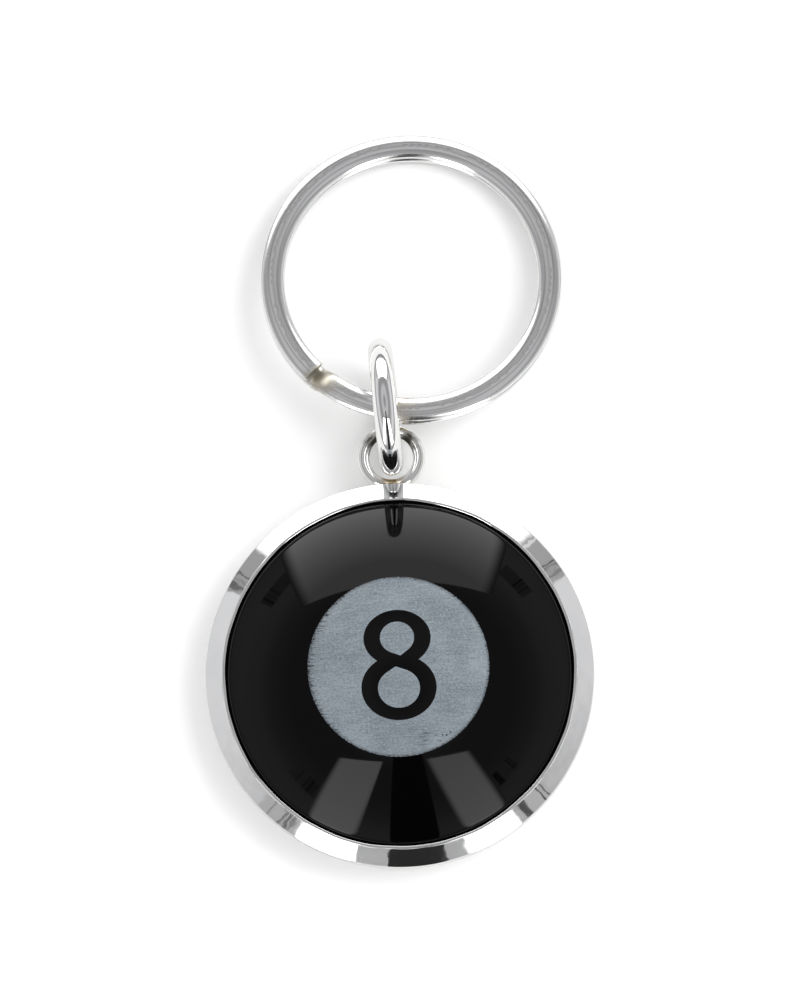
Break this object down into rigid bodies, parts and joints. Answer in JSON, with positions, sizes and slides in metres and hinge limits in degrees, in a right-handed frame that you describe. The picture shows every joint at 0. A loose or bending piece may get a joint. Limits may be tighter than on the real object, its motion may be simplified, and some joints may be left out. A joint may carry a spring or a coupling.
{
  "type": "key fob",
  "caption": "Round key fob: black domed disc with a numbered billiard-ball spot in a bevelled metal bezel, on a wire eye, a round link and a split key ring.",
  "frame": {"origin": "centre of the flat back face of the disc", "axes": "+X to the right seen from the front, +Y from the disc towards the split ring, +Z out of the back face through the dome; the fob lies on its back"},
  "size_m": [0.032, 0.0616, 0.0114],
  "materials": {
    "polished_silver": "mirror-polished silver-coloured metal with fine handling marks",
    "drawn_steel": "bright drawn nickel-plated spring steel",
    "solder": "bright silver solder, slightly uneven",
    "black_stone": "polished black, deep gloss",
    "spot_grey": "frosted pale grey with fine raster lines",
    "cement": "hard clear-amber adhesive"
  },
  "bodies": {
    "fob": {"bezel_frame": "polished_silver", "back_plate": "polished_silver", "dome_cement": "cement", "black_dome": "black_stone", "number_spot": "spot_grey", "eye_ring": "polished_silver", "eye_solder": "solder"},
    "link": {"connecting_link": "polished_silver"},
    "ring": {"split_ring": "drawn_steel"}
  },
  "joints": [
    {"name": "link_swing", "type": "hinge", "parent": "fob", "child": "link", "pos_m": [-0.00014, 0.0205, 0.0031], "axis": [0.9982, 0.0593, 0], "range_deg": [-125, 10]},
    {"name": "ring_swing", "type": "hinge", "parent": "link", "child": "ring", "pos_m": [-0.00023, 0.02213, 0.0049], "axis": [0.9759, -0.2181, 0], "range_deg": [-20, 140]}
  ]
}
